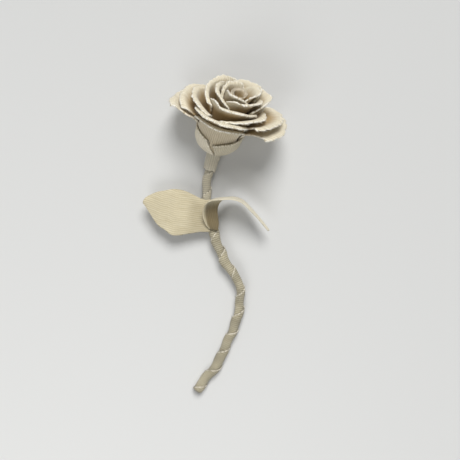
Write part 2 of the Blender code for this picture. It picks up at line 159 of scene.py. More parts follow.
def weaveCanvas(name):
    look = canvasLooks[name]
    material = bpy.data.materials.new(name)
    material.use_nodes = True
    tree = material.node_tree
    shader = tree.nodes["Principled BSDF"]
    shader.inputs["Roughness"].default_value = 0.93
    shader.inputs["Specular IOR Level"].default_value = 0.25
    shader.inputs["Sheen Weight"].default_value = 0.18
    shader.inputs["Sheen Roughness"].default_value = 0.6
    uv = addNode(tree, "ShaderNodeUVMap", uv_map="cut")
    drift = addNode(tree, "ShaderNodeTexNoise", [(0, uv.outputs[0])], in2=0.22, in3=2.0, in4=0.6)
    shift = addNode(tree, "ShaderNodeVectorMath", [(0, drift.outputs["Color"])], operation="MULTIPLY_ADD")
    shift.inputs[1].default_value = (1.1, 1.1, 0.0)
    tree.links.new(uv.outputs[0], shift.inputs[2])
    split = addNode(tree, "ShaderNodeSeparateXYZ", [(0, shift.outputs[0])])
    # rounded cords across x, and the picks over them, every other cord half a step on
    across = addNode(tree, "ShaderNodeMath", [(0, split.outputs[0])], operation="MULTIPLY",
                     in1=1.0 / look["rib"])
    cordTurn = addNode(tree, "ShaderNodeMath", [(0, across.outputs[0])], operation="MULTIPLY", in1=math.pi)
    cordWave = addNode(tree, "ShaderNodeMath", [(0, cordTurn.outputs[0])], operation="SINE")
    cordSize = addNode(tree, "ShaderNodeMath", [(0, cordWave.outputs[0])], operation="ABSOLUTE")
    cord = addNode(tree, "ShaderNodeMath", [(0, cordSize.outputs[0])], operation="POWER", in1=0.65)
    number = addNode(tree, "ShaderNodeMath", [(0, across.outputs[0])], operation="FLOOR")
    half = addNode(tree, "ShaderNodeMath", [(0, number.outputs[0])], operation="MULTIPLY", in1=math.pi)
    pickTurn = addNode(tree, "ShaderNodeMath", [(0, split.outputs[1]), (2, half.outputs[0])],
                       operation="MULTIPLY_ADD", in1=2 * math.pi / look["pick"])
    pickWave = addNode(tree, "ShaderNodeMath", [(0, pickTurn.outputs[0])], operation="SINE")
    pick = addNode(tree, "ShaderNodeMath", [(0, pickWave.outputs[0])], operation="MULTIPLY_ADD",
                   in1=0.5, in2=0.5)
    weave = addNode(tree, "ShaderNodeMix", [(2, cord.outputs[0]), (3, pick.outputs[0])], in0=0.32)
    fuzz = addNode(tree, "ShaderNodeTexNoise", [(0, uv.outputs[0])], in2=2.6, in3=3.0, in4=0.7)
    height = addNode(tree, "ShaderNodeMix", [(2, weave.outputs[0]), (3, fuzz.outputs[0])], in0=0.3)
    # slubs: threads that run thicker and darker for a while
    stretch = addNode(tree, "ShaderNodeMapping", [(0, uv.outputs[0])])
    stretch.inputs[3].default_value = (0.9, 0.09, 1.0)
    slub = addNode(tree, "ShaderNodeTexNoise", [(0, stretch.outputs[0])], in2=0.7, in3=2.0, in4=0.5)
    slubTone = addNode(tree, "ShaderNodeMapRange", [(0, slub.outputs[0])],
                       in1=0.35, in2=0.72, in3=0.0, in4=1.0)
    blotch = addNode(tree, "ShaderNodeTexNoise", [(0, uv.outputs[0])], in2=0.06, in3=3.0, in4=0.6)
    faceTone = addNode(tree, "ShaderNodeMapRange", [(0, height.outputs[0])],
                       in1=0.15, in2=0.8, in3=0.0, in4=1.0)
    colour = addNode(tree, "ShaderNodeMix", [(0, faceTone.outputs[0])], data_type="RGBA")
    colour.inputs[6].default_value = linear(look["deep"])
    colour.inputs[7].default_value = linear(look["light"])
    slubbed = addNode(tree, "ShaderNodeMix", [(0, slubTone.outputs[0]), (6, colour.outputs[2])],
                      data_type="RGBA", blend_type="MULTIPLY")
    slubbed.inputs[7].default_value = (0.90, 0.88, 0.83, 1.0)
    blotchTone = addNode(tree, "ShaderNodeMapRange", [(0, blotch.outputs[0])], in1=0.3, in2=0.7,
                         in3=1.0 - look["blotch"], in4=1.0 + look["blotch"] * 0.4)
    toned = addNode(tree, "ShaderNodeVectorMath", [(0, slubbed.outputs[2]), (1, blotchTone.outputs[0])],
                    operation="MULTIPLY")
    # painted light: some cloth is painted paler, towards its raw colour, where the bloom's shade falls on it
    pale = addNode(tree, "ShaderNodeAttribute", attribute_name="pale")
    paintedLightMix = addNode(tree, "ShaderNodeMix", [(0, pale.outputs["Fac"]), (6, toned.outputs[0])],
                    data_type="RGBA")
    paintedLightMix.inputs[7].default_value = linear(look["raw"])
    # raw edge: the cut ends of the threads are paler and stand open
    rim = addNode(tree, "ShaderNodeAttribute", attribute_name="rim")
    ends = addNode(tree, "ShaderNodeMath", [(0, rim.outputs["Fac"]), (1, fuzz.outputs[0])],
                   operation="MULTIPLY")
    endsTone = addNode(tree, "ShaderNodeMapRange", [(0, ends.outputs[0])],
                       in1=0.14, in2=0.5, in3=0.0, in4=0.95)
    bundle = addNode(tree, "ShaderNodeTexNoise", [(0, uv.outputs[0])], in2=0.6, in3=2.0, in4=0.6)
    bundleTone = addNode(tree, "ShaderNodeMapRange", [(0, bundle.outputs[0])],
                         in1=0.36, in2=0.5, in3=0.0, in4=1.0)
    tuft = addNode(tree, "ShaderNodeMix", [(0, bundleTone.outputs[0])], data_type="RGBA")
    tuft.inputs[6].default_value = linear(look["deep"])
    tuft.inputs[7].default_value = linear(look["raw"])
    edged = addNode(tree, "ShaderNodeMix",
                    [(0, endsTone.outputs[0]), (6, paintedLightMix.outputs[2]), (7, tuft.outputs[2])], data_type="RGBA")
    # painted shade: the cloth is made browner and duller down inside the bloom and at the curled leaf's foot,
    # where shade falls
    deep = addNode(tree, "ShaderNodeAttribute", attribute_name="deep")
    paintedShadeMix = addNode(tree, "ShaderNodeMix", [(0, deep.outputs["Fac"]), (6, edged.outputs[2])],
                     data_type="RGBA", blend_type="MULTIPLY")
    paintedShadeMix.inputs[7].default_value = look["shade"] + (1.0,)
    tree.links.new(paintedShadeMix.outputs[2], shader.inputs["Base Color"])
    bump = addNode(tree, "ShaderNodeBump", [(3, height.outputs[0])], in0=0.85)
    bump.inputs["Distance"].default_value = look["depth"] * 0.001
    tree.links.new(bump.outputs[0], shader.inputs["Normal"])
    return material


canvases = {name: weaveCanvas(name) for name in canvasLooks}
frayStarts = []  # (canvas, point, outward, normal) along the raw edges
print("canvases woven")


def sew(name, grid, across, along, canvas, thick=None, raw=(True, True, True, True), deep=0.0, pale=0.0):
    # closed cloth from a grid of points; across and along are its flat measures in millimetres;
    # raw says which edges are cut: first row, last row, first column, last column;
    # deep and pale, from 0 to 1, say where painted shade makes the cloth browner and where painted light
    # makes it paler
    rows, columns = grid.shape[:2]
    normals = unit(np.cross(np.gradient(grid, axis=0), np.gradient(grid, axis=1)))
    fromRim = np.full((rows, columns), 99.0)
    if raw[0]:
        fromRim = np.minimum(fromRim, along - along[0])
    if raw[1]:
        fromRim = np.minimum(fromRim, along[-1] - along)
    if raw[2]:
        fromRim = np.minimum(fromRim, np.abs(across - across[:, :1]))
    if raw[3]:
        fromRim = np.minimum(fromRim, np.abs(across[:, -1:] - across))
    rim = np.exp(-fromRim / 0.9)
    if thick is None:
        thick = cloth["thickness"] + (cloth["rimThickness"] - cloth["thickness"]) * np.exp(-fromRim / 1.3)
        thick = thick * (1 + 0.3 * rim * wander(len(name) * 7 + 3, across, along, 6, 1.0, 4.0))
    index = np.arange(rows * columns).reshape(rows, columns)
    edge = np.concatenate([index[0, :], index[1:, -1], index[-1, -2::-1], index[-2:0:-1, 0]])
    inner = np.concatenate([index[1, :], index[1:, -2], index[-2, -2::-1], index[-2:0:-1, 1]])
    flat = grid.reshape(-1, 3)
    lift = (normals * thick[..., None] / 2).reshape(-1, 3)
    outward = unit(flat[edge] - flat[inner])
    middle = flat[edge] + outward * thick.reshape(-1)[edge][:, None] * 0.38
    points = np.concatenate([flat + lift, flat - lift, middle])
    count = rows * columns
    faces = []
    for i in range(rows - 1):
        for j in range(columns - 1):
            a, b, c, d = index[i, j], index[i + 1, j], index[i + 1, j + 1], index[i, j + 1]
            faces.append((a, b, c, d))
            faces.append((a + count, d + count, c + count, b + count))
    size = len(edge)
    for k in range(size):
        m = (k + 1) % size
        faces.append((edge[k], edge[m], 2 * count + m, 2 * count + k))
        faces.append((2 * count + k, 2 * count + m, edge[m] + count, edge[k] + count))
    mesh = bpy.data.meshes.new(name)
    placed = settle(points)
    if canvas == "petalCanvas":
        placed = press(placed)
    mesh.from_pydata(placed.tolist(), [], [tuple(int(v) for v in f) for f in faces])
    mesh.polygons.foreach_set("use_smooth", [True] * len(faces))
    flatMap = np.stack([across, along], axis=-1).reshape(-1, 2)
    flatMap = np.concatenate([flatMap, flatMap, flatMap[edge]])
    corner = np.empty(len(mesh.loops), dtype=int)
    mesh.loops.foreach_get("vertex_index", corner)
    mesh.uv_layers.new(name="cut").data.foreach_set("uv", flatMap[corner].ravel())
    rimValues = np.concatenate([rim.reshape(-1), rim.reshape(-1), rim.reshape(-1)[edge]])
    mesh.attributes.new("rim", "FLOAT", "POINT").data.foreach_set("value", rimValues)
    for label, values in (("deep", deep), ("pale", pale)):
        values = (values + np.zeros((rows, columns))).reshape(-1)
        values = np.concatenate([values, values, values[edge]])
        mesh.attributes.new(label, "FLOAT", "POINT").data.foreach_set("value", values)
    piece = bpy.data.objects.new(name, mesh)
    bpy.context.scene.collection.objects.link(piece)
    mesh.materials.append(canvases[canvas])
    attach(piece, "root")
    side = np.concatenate([np.full(columns, 0), np.full(rows - 1, 3), np.full(columns - 1, 1),
                           np.full(rows - 2, 2)])
    for k in range(size):
        if raw[side[k]]:
            frayStarts.append((canvas, middle[k], outward[k], unit(lift[edge[k]])))
    return piece


# Petals from the inside out. Angle 0 is right and -90 front, in degrees, and limit is the widest that
# half a petal spreads. lean and drop add to the rim's radius and height from one side to the other.
# slope is how steeply the cloth meets its rim, and upright how far it first climbs straight up.
# lip is the curled edge's length and curl its turn. cut is the share of the way to the rim where the
# lip starts, corner what the sides lack of it, and slant what one side lacks more.
# swingLeft and swingRight turn a side further round at the foot.
petalCuts = {
    "petal_bud_front": dict(ring=0, angle=-105, rimRadius=13.2, rimHeight=66, lean=0, drop=0, halfWidth=17,
        limit=71, slope=74, upright=0.75, lip=4, curl=75, corner=0.2, cut=1),
    "petal_bud_right": dict(ring=0, angle=15, rimRadius=13.2, rimHeight=66, lean=0, drop=0, halfWidth=17,
        limit=71, slope=74, upright=0.75, lip=4, curl=75, corner=0.2, cut=1),
    "petal_bud_back": dict(ring=0, angle=135, rimRadius=13.2, rimHeight=66, lean=0, drop=0, halfWidth=17,
        limit=71, slope=74, upright=0.75, lip=4, curl=75, corner=0.2, cut=0.97),
    "petal_heart_right": dict(ring=1, angle=-50, rimRadius=19, rimHeight=64, lean=0, drop=0, halfWidth=24,
        limit=71, slope=66, upright=0.75, lip=4.5, curl=75, corner=0.2, cut=1),
    "petal_heart_back": dict(ring=1, angle=70, rimRadius=19, rimHeight=64, lean=0, drop=0, halfWidth=24,
        limit=71, slope=66, upright=0.75, lip=4.5, curl=75, corner=0.2, cut=0.98),
    "petal_heart_left": dict(ring=1, angle=190, rimRadius=19, rimHeight=64, lean=0, drop=0, halfWidth=24,
        limit=71, slope=66, upright=0.75, lip=4.5, curl=75, corner=0.2, cut=1),
    "petal_inner_front": dict(ring=2, angle=-90, rimRadius=26, rimHeight=61, lean=0, drop=0, halfWidth=29,
        limit=70, slope=60, upright=0.75, lip=5, curl=75, corner=0.2, cut=0.92),
    "petal_inner_right": dict(ring=2, angle=30, rimRadius=26, rimHeight=61, lean=0, drop=0, halfWidth=29,
        limit=70, slope=60, upright=0.75, lip=5, curl=75, corner=0.2, cut=0.95),
    "petal_inner_left": dict(ring=2, angle=150, rimRadius=26, rimHeight=61, lean=0, drop=0, halfWidth=29,
        limit=70, slope=60, upright=0.75, lip=5, curl=75, corner=0.2, cut=1),
    "petal_middle_right": dict(ring=3, angle=-48, rimRadius=29.8, rimHeight=53, lean=0, drop=0, halfWidth=27,
        limit=53, slope=52, upright=0.75, lip=4.5, curl=70, corner=0.2, cut=1),
    "petal_middle_left": dict(ring=3, angle=190, rimRadius=33, rimHeight=52, lean=-4, drop=0, halfWidth=27,
        limit=45, slope=46, upright=0.75, lip=5, curl=75, corner=0.2, cut=1),
    "petal_middle_back": dict(ring=3, angle=70.5, rimRadius=31, rimHeight=50, lean=0, drop=0, halfWidth=27,
        limit=53, slope=50, upright=0.75, lip=4.5, curl=70, corner=0.2, cut=1),
    "petal_upper_front": dict(ring=4, angle=-104, rimRadius=33, rimHeight=50, lean=0, drop=0, halfWidth=29,
        limit=51, slope=46, upright=0.75, lip=5, curl=75, corner=0.18, cut=1),
    "petal_upper_right": dict(ring=4, angle=-2.5, rimRadius=42, rimHeight=48, lean=3, drop=-3, halfWidth=27,
        limit=41, slope=30, upright=1.42, lip=5, curl=70, corner=0.15, cut=1),
    "petal_upper_left": dict(ring=4, angle=158, rimRadius=43, rimHeight=45, lean=0, drop=0, halfWidth=27,
        limit=43, slope=30, upright=1.25, lip=5, curl=70, corner=0.2, cut=1),
    "petal_upper_back": dict(ring=4, angle=78.5, rimRadius=40, rimHeight=43, lean=0, drop=0, halfWidth=27,
        limit=32, slope=30, upright=1.3, lip=5, curl=70, corner=0.2, cut=1),
    "petal_outer_left": dict(ring=5, angle=152, rimRadius=50, rimHeight=35, lean=-2, drop=4, halfWidth=31,
        limit=50, slope=14, upright=1.5, lip=5, curl=60, corner=0.08, cut=1),
    "petal_outer_right": dict(ring=5, angle=8, rimRadius=50, rimHeight=39, lean=2, drop=0, halfWidth=31,
        limit=36, slope=14, upright=1.55, lip=5, curl=60, corner=0.2, cut=1),
    "petal_outer_front": dict(ring=5, angle=-99, rimRadius=29, rimHeight=41, lean=0, drop=0, halfWidth=30,
        limit=56, slope=50, upright=0.75, lip=5, curl=80, corner=0.34, cut=1),
    "petal_back_right": dict(ring=6, angle=55, rimRadius=47, rimHeight=29, lean=-6, drop=0, halfWidth=29,
        limit=37, slope=4, upright=0.75, lip=5, curl=60, corner=0.2, cut=1),
    "petal_back_left": dict(ring=6, angle=134, rimRadius=47, rimHeight=29, lean=8, drop=0, halfWidth=29,
        limit=37, slope=4, upright=0.75, lip=5, curl=60, corner=0.2, cut=1),
}
# pale paints light on a cover that lies in the bloom's shade
coverCuts = {
    "cover_left": dict(ring=6, angle=-151, rimRadius=22.2, rimHeight=21, lean=0, drop=-1, halfWidth=22,
        limit=34, slope=84, upright=0.75, lip=1.5, curl=5, corner=0.34, cut=1,
        swingLeft=0, swingRight=30, slant=0, pale=0.4),
    "cover_right": dict(ring=6, angle=-57, rimRadius=22.2, rimHeight=21, lean=0, drop=3, halfWidth=22,
        limit=41, slope=84, upright=0.75, lip=1.5, curl=5, corner=0.25, cut=1,
        swingLeft=18, swingRight=0, slant=0.15, pale=0),
}


def petalGrid(spec, seed, columns=61, bowlRows=9, riseRows=18, lipRows=9):
    inner = spec["ring"] < 3
    belly = bulb["radius"] - (bulb["lastRing"] - spec["ring"]) * bulb["ringGap"]
    low = math.acos(bulb["foot"] / belly)
    turn = np.linspace(-low, 0.0, bowlRows)
    bowl = np.stack([belly * np.cos(turn), bulb["centre"] + bulb["depth"] * belly * np.sin(turn)], axis=1)
    share = np.concatenate([np.zeros(bowlRows), np.linspace(0, 1, riseRows + 1)[1:], np.ones(lipRows)])
    rows = len(share)
    grid = np.zeros((rows, columns, 3))
    across = np.zeros((rows, columns))
    along = np.zeros((rows, columns))
    wave = 0.35 if inner else 0.6
    for j, u in enumerate(np.linspace(-1, 1, columns)):
        rim = np.array([spec["rimRadius"] + spec["lean"] * u, spec["rimHeight"] + spec["drop"] * u])
        reach = np.linalg.norm(rim - bowl[-1])
        slope = math.radians(spec["slope"])
        start = np.array([0.0, reach * spec["upright"]])
        end = np.array([math.cos(slope), math.sin(slope)]) * reach * 0.9
        t = np.linspace(0, 1, 41)[:, None]
        rise = ((2 * t ** 3 - 3 * t ** 2 + 1) * bowl[-1] + (t ** 3 - 2 * t ** 2 + t) * start
                + (3 * t ** 2 - 2 * t ** 3) * rim + (t ** 3 - t ** 2) * end)
        run = runAlong(rise)
        slopes = unit(np.gradient(rise, axis=0))
        corner = spec["cut"] * (1.0 - spec["corner"] * abs(u) ** 2.6) + spec.get("slant", 0.0) * (u - 1.0)
        slow = wander(seed, 3.0 * u, 0, 4, 0.8, 3.0)
        fast = wander(seed + 5, 17 * u, 0)
        corner = corner * (1.0 + 0.014 * slow + 0.010 * fast)
        at = np.linspace(0, corner, riseRows + 1)[1:] * run[-1]
        free = smoothStep(-0.8, -0.3, u) if inner else 1.0
        slow = wander(seed + 1, 4.0 * u, 0, 4, 0.8, 3.0)
        fast = wander(seed + 6, 20 * u, 0)
        lip = spec["lip"] * (1 + 0.12 * slow + 0.11 * fast)
        more = np.linspace(0, lip, lipRows + 1)[1:]
        curl = spec["curl"] * free * (1 + 0.08 * wander(seed + 2, 3.0 * u, 0, 4, 0.8, 3.0))
        bend = np.radians(curl) * more / lip
        at = np.concatenate([at, np.minimum(at[-1] + more * (1.0 - free), run[-1])])
        line = np.stack([np.interp(at, run, rise[:, k]) for k in range(2)], axis=1)
        way = np.stack([np.interp(at, run, slopes[:, k]) for k in range(2)], axis=1)[riseRows - 1]
        outward = np.array([way[1], -way[0]])
        bend = np.maximum(bend, 1e-3)[:, None]
        line[riseRows:] += free * (more[:, None] / bend) * (np.sin(bend) * way + (1 - np.cos(bend)) * outward)
        line = np.concatenate([bowl, line])
        way = unit(np.gradient(line, axis=0))
        off = wave * smoothStep(0.35, 1.0, share) * wander(seed + 3, 2.6 * u, share, 4, 0.8, 2.6)
        if inner:
            off = off * 0.5 + cloth["standOut"] * u * smoothStep(0.05, 0.35, share * corner)
        line = line + off[:, None] * np.stack([way[:, 1], -way[:, 0]], axis=1)
        climb = runAlong(line)
        widening = smoothStep(0.0, 0.6, climb / climb[-1])
        width = spec["halfWidth"] * (cloth["claw"] + (1 - cloth["claw"]) * widening)
        widest = spec["limit"] + 0.0 * share
        if inner:
            change = smoothStep(0.4, 0.6, share)
            widest = cloth["innerSpread"] + (spec["limit"] - cloth["innerSpread"]) * change
        half = np.minimum(width / line[:, 0], np.radians(widest))
        swing = spec.get("swingRight", 0.0) * max(u, 0.0) + spec.get("swingLeft", 0.0) * max(-u, 0.0)
        angle = np.radians(spec["angle"] + swing * (1.0 - smoothStep(0.0, 26.0, line[:, 1])))
        grid[:, j] = bloomPoint(line[:, 0], angle + half * u, line[:, 1])
        across[:, j] = half * u * line[:, 0]
        along[:, j] = climb
    return grid, across, along


for number, (name, spec) in enumerate(list(petalCuts.items()) + list(coverCuts.items())):
    canvas = "coverCanvas" if name in coverCuts else "petalCanvas"
    grid, across, along = petalGrid(spec, 40 + 11 * number)
    # painted shade: petals of the inner rings are painted browner towards their foot, down inside the bloom;
    # a cover's pale paints light on it where the bloom's shade falls
    low = smoothStep(2.5, 13.0, along[-1] - along) * np.interp(spec["ring"], [4, 5, 6], [1.0, 0.3, 0.0])
    petal = sew(name + "_cloth", grid, across, along, canvas, raw=(False, True, True, True), deep=low,
                pale=spec.get("pale", 0.0))
    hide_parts(name)
print("petals sewn")

# Strip of canvas rolled up on itself, with its upper edge a little uneven
rolledBud = dict(bottom=2.5, top=64.0, holeBottom=2.7, holeTop=4.9, turnGap=1.7, turns=1.6,
                 thickness=1.05, rows=26, steps=150)


def makeBud():
    look = rolledBud
    turns = np.linspace(0, look["turns"], look["steps"])[None, :]
    share = np.linspace(0, 1, look["rows"])[:, None]
    top = look["top"] + 0.7 * wander(7, turns * 6.0, 0, 5, 0.5, 2.0) + 0.8 * np.sin(turns * 2 * math.pi + 1.0)
    height = look["bottom"] + (top - look["bottom"]) * share
    hole = look["holeBottom"] + (look["holeTop"] - look["holeBottom"]) * share
    radius = hole + look["turnGap"] * turns + 0.18 * share * wander(9, turns * 8.0, share * 3, 4, 0.6, 2.0)
    grid = bloomPoint(radius, turns * 2 * math.pi, height)
    stepLength = 2 * math.pi * radius * np.gradient(turns, axis=1)
    across = np.cumsum(stepLength, axis=1)
    along = height + 0.0 * turns
    # painted shade over the whole roll, strongest towards its foot, down in the bloom's centre
    bud = sew("rolled_bud_cloth", grid, across, along, "petalCanvas", raw=(False, True, True, True),
              thick=np.full(along.shape, look["thickness"]),
              deep=0.45 + 0.55 * smoothStep(0.5, 6.0, along[-1] - along))
    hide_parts("rolled_bud")


makeBud()
print("bud rolled")

# Leaves, by the points of their two edges from the foot outward. The right one arches over.
# swell and cup bulge or hollow the middle, foot paints shade on the foot, pale paints light on the leaf away
# from its foot, and flutter is the unevenness.
leftLeaf = dict(
    first=[
        (-3.9, -43.6, -8.6), (-8.5, -43.2, -7.9), (-13.2, -41.8, -8.2), (-19.7, -38.5, -7.6),
        (-25.3, -35.8, -7.0), (-31.7, -33.9, -6.5), (-39.2, -33.5, -6.0), (-45.6, -34.9, -5.5),
        (-53.0, -36.3, -5.0), (-59.5, -39.1, -4.5), (-63.6, -41.4, -4.0), (-65.7, -44.2, -4.0)],
    second=[
        (-3.9, -72.5, -8.6), (-8.5, -72.6, -8.6), (-13.2, -72.6, -8.6), (-19.7, -73.7, -8.0),
        (-25.3, -74.5, -7.5), (-31.7, -75.6, -7.0), (-39.2, -75.6, -6.5), (-45.6, -70.9, -6.0),
        (-53.0, -65.6, -5.5), (-59.5, -55.8, -5.0), (-63.6, -48.9, -4.5), (-65.7, -46.5, -4.0)],
    swell=1.2, cup=0.0, foot=0.3, pale=0.0, flutter=0.7, steps=61, rows=37,
    held="laid")
rightLeaf = dict(
    first=[
        (-4.6, -69.8, -6.6), (-8.6, -64.0, -3.5), (-10.2, -55.4, 2.0), (-7.7, -47.7, 9.0),
        (-2.2, -44.5, 14.0), (6.0, -43.8, 17.0), (16.0, -43.6, 17.0), (25.4, -46.6, 15.0),
        (33.6, -54.0, 10.5), (42.2, -62.4, 4.5), (50.4, -71.8, -2.0)],
    second=[
        (3.4, -71.6, -6.9), (4.1, -64.6, -4.0), (3.0, -53.4, -1.0), (5.0, -46.2, -3.5),
        (10.6, -41.6, -8.0), (18.2, -40.4, -10.0), (27.2, -43.3, -11.0), (35.4, -51.2, -11.0),
        (43.3, -60.5, -8.0), (50.8, -71.0, -4.0)],
    swell=0.0, cup=2.2, foot=1.0, pale=0.42, flutter=0.35, steps=85, rows=31,
    held="folded")


def makeLeaf(name, look, seed):
    a = smoothLine(look["first"], look["steps"])
    b = smoothLine(look["second"], look["steps"])
    share = np.linspace(0, 1, look["rows"])[:, None]
    grid = a[None] * (1 - share[..., None]) + b[None] * share[..., None]
    away = np.linspace(0.0, 1.0, look["steps"])[None, :]
    grid[..., 2] += look["swell"] * np.sin(share * math.pi) * (0.2 + 0.8 * away)
    normals = unit(np.cross(np.gradient(grid, axis=0), np.gradient(grid, axis=1)))
    ripple = look["flutter"] * smoothStep(0.1, 0.5, away) * wander(seed, away * 7, share * 3, 6, 0.6, 2.0)
    hollow = look["cup"] * np.sin(share * math.pi) * smoothStep(0.03, 0.14, away)
    hollow = hollow * smoothStep(0.5, 0.3, away)
    grid = grid + normals * (ripple - hollow)[..., None]
    middle = grid[look["rows"] // 2]
    along = np.tile(runAlong(middle)[None, :], (look["rows"], 1))
    across = np.stack([runAlong(grid[:, j]) for j in range(look["steps"])], axis=1)
    across = across - across[-1:] / 2
    # painted shade at the leaf's foot, where the arch and the other leaf shade it; painted light further out,
    # where the bloom's shadow falls
    foot = look["foot"] * smoothStep(0.36, 0.2, away) * smoothStep(0.0, 0.25, share)
    pale = look["pale"] * smoothStep(0.25, 0.5, away)
    leaf = sew(name + "_cloth", grid, across, along, "leafCanvas", raw=(False, False, False, False),
               deep=foot, pale=pale)
    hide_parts(name)


# The stem's middle line and the radius of its wrapping down the stem
stemLine = [
    (1.0, 3.7, 3.0), (-4.4, -15.1, -9.6), (-6.8, -24.3, -12.3), (-7.3, -33.6, -13.5),
    (-6.8, -43.0, -14.0), (-4.9, -57.1, -14.0), (-0.7, -73.0, -14.0), (3.5, -85.2, -14.0),
    (9.6, -99.3, -14.5), (15.7, -108.7, -15.0), (21.8, -118.1, -16.0), (24.7, -127.6, -17.0),
    (24.2, -137.1, -18.0), (22.3, -151.4, -19.5), (17.6, -165.7, -21.0), (11.0, -180.0, -22.5),
    (4.8, -194.5, -24.0), (-1.4, -204.1, -25.0), (-9.9, -213.7, -26.0), (-16.2, -223.4, -26.5)]
stemGirth = [
    (0, 3.7), (50, 3.8), (76, 4.0), (82, 4.6), (88, 4.5), (94, 3.9), (110, 4.1), (128, 3.8), (150, 3.7),
    (172, 4.0), (190, 3.7), (206, 4.0), (218, 4.4), (226, 3.9), (244, 4.3), (300, 4.4)]
# A strip wound round the wire from the bloom down, each turn's upper edge over the turn before
stemStrip = dict(pitch=20.0, width=25.0, thickness=0.8, lift=0.75, meanRadius=4.0, extraTurn=0.3,
                 endGap=0.3, endLength=3.0, endRadius=4.6, perTurn=36, rows=17)
stemFold = dict(radius=4.0, depth=1.5, stand=0.9, thickness=0.8, rings=12, steps=49,
                flat=(0.01, 0.01), area=5.2e-05)
collarTube = dict(length=21.0, hole=4.55, topRadius=6.9, endRadius=5.9, rows=26, steps=65,
                  flat=(0.021, 0.037))


def stemFrames(count):
    line = smoothLine(stemLine, count)
    way = unit(np.gradient(line, axis=0))
    side = np.zeros_like(line)
    start = np.array([1.0, 0.0, 0.0])
    for i, direction in enumerate(way):
        start = unit(start - direction * np.dot(start, direction))
        side[i] = start
    return dict(line=line, way=way, side=side, other=np.cross(way, side), run=runAlong(line))


def aroundStem(stem, spot, angle, radius):
    # points at an angle and a radius round the stem's line, spot millimetres down it
    grid = np.zeros(spot.shape + (3,))
    for k in range(3):
        centre = np.interp(spot, stem["run"], stem["line"][:, k])
        x = np.interp(spot, stem["run"], stem["side"][:, k])
        y = np.interp(spot, stem["run"], stem["other"][:, k])
        grid[..., k] = centre + radius * (np.cos(angle) * x + np.sin(angle) * y)
    return grid


def windStrip(stem):
    look = stemStrip
    girth = np.array(stemGirth, dtype=float)
    end = stem["run"][-1] - look["endGap"]
    turns = (end + look["width"] / 2) / look["pitch"] + look["extraTurn"]
    steps = int(turns * look["perTurn"])
    turn = np.linspace(-look["extraTurn"], turns, steps)[None, :]
    share = np.linspace(0.0, 1.0, look["rows"])[:, None]
    ragged = 1.3 * wander(21, turn * 2.2, 0, 6, 0.7, 3.0) * (1 - share) ** 2
    down = turn * look["pitch"] + (share - 0.5) * look["width"] + ragged
    spot = np.clip(down, 0.0, end)
    angle = 2.4 + turn * 2 * math.pi + 0.0 * share
    lift = look["lift"] * (1.0 + 0.35 * wander(23, turn * 1.7, 0, 5, 0.7, 2.4))
    radius = np.interp(spot, girth[:, 0], girth[:, 1]) - look["thickness"] / 2 + 0.25 - 0.35 * share
    radius = radius + lift * (1.0 - smoothStep(0.16, 0.42, share)) * smoothStep(3, 14, spot)
    radius = radius + 0.12 * wander(25, turn * 9.0, share * 4.0, 7, 0.5, 2.5)
    radius = np.where(spot > end - look["endLength"], np.minimum(radius, look["endRadius"]), radius)
    grid = aroundStem(stem, spot, angle, radius)
    # the cords lie across the stem
    across = down.T
    along = (look["meanRadius"] * angle).T
    # painted light on the wrap's top, lifting it out of the bloom's shade
    wrap = sew("stem_wrap_cloth", grid.transpose(1, 0, 2), across, along, "stemCanvas",
               thick=np.full(across.shape, look["thickness"]), raw=(False, False, True, True),
               pale=0.25 * smoothStep(66.0, 50.0, spot.T))
    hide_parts("stem_wrap")


def foldEnd(stem):
    # the strip's end folded over the cut wire
    look = stemFold
    around = np.linspace(0, 2 * math.pi, look["steps"])[None, :]
    out = np.linspace(0.02, 1.0, look["rings"])[:, None]
    bulge = look["depth"] * (1 - out ** 3) - look["depth"] + look["stand"]
    across = look["radius"] * out * np.cos(around)
    along = look["radius"] * out * np.sin(around)
    grid = stem["line"][-1] + (stem["way"][-1] * bulge[..., None])
    grid = grid + across[..., None] * stem["side"][-1] + along[..., None] * stem["other"][-1]
    fold = sew("stem_end_fold", grid[:, ::-1], across[:, ::-1], along[:, ::-1], "stemCanvas",
               thick=np.full(across.shape, look["thickness"]), raw=(False, False, False, False))


def wrapCollar(stem):
    # wider end of the wrapping under the bloom, with a ragged lower edge
    look = collarTube
    low = np.linspace(-1.0, 1.0, look["rows"])[:, None]
    around = np.linspace(0, 2 * math.pi, look["steps"])[None, :]
    ragged = 1.1 * wander(31, np.cos(around) * 5, np.sin(around) * 5, 6, 0.5, 2.0)
    spot = np.clip((low + 1) / 2 * (look["length"] + ragged), 0.0, None)
    middle = (look["topRadius"] + look["hole"]) / 2
    thick = look["topRadius"] - look["hole"] + (look["endRadius"] - look["topRadius"]) * (low + 1) / 2
    radius = look["hole"] + 0.15 + thick / 2 + 0.10 * wander(33, around * 3, low * 3, 5, 0.5, 2.0)
    # divided by just over a full turn, so that the last column stays on the seam's outer side
    radius = radius + 0.35 * (((around / 6.2832 + low * 0.4) % 1.0) - 0.5)
    grid = aroundStem(stem, spot, around, radius)
    across = middle * around + 0.0 * low
    # painted light over the whole collar, lifting it out of the bloom's shade
    collar = sew("collar_cloth", grid[:, ::-1], across[:, ::-1], spot[:, ::-1], "stemCanvas",
                 thick=thick + 0.0 * around - 0.3, raw=(False, True, False, False), pale=0.45)
    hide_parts("collar")


stemParts = stemFrames(400)
windStrip(stemParts)
foldEnd(stemParts)
wrapCollar(stemParts)
print("stem wound")

makeLeaf("leaf_left", leftLeaf, 61)
makeLeaf("leaf_right", rightLeaf, 67)
print("leaves cut")

# Loose thread ends along the raw edges: how many at a point, and how long
fray = dict(petalCanvas=(3, 1.2), coverCanvas=(3, 1.4), stemCanvas=(3, 1.6))
threadRadius = 0.11


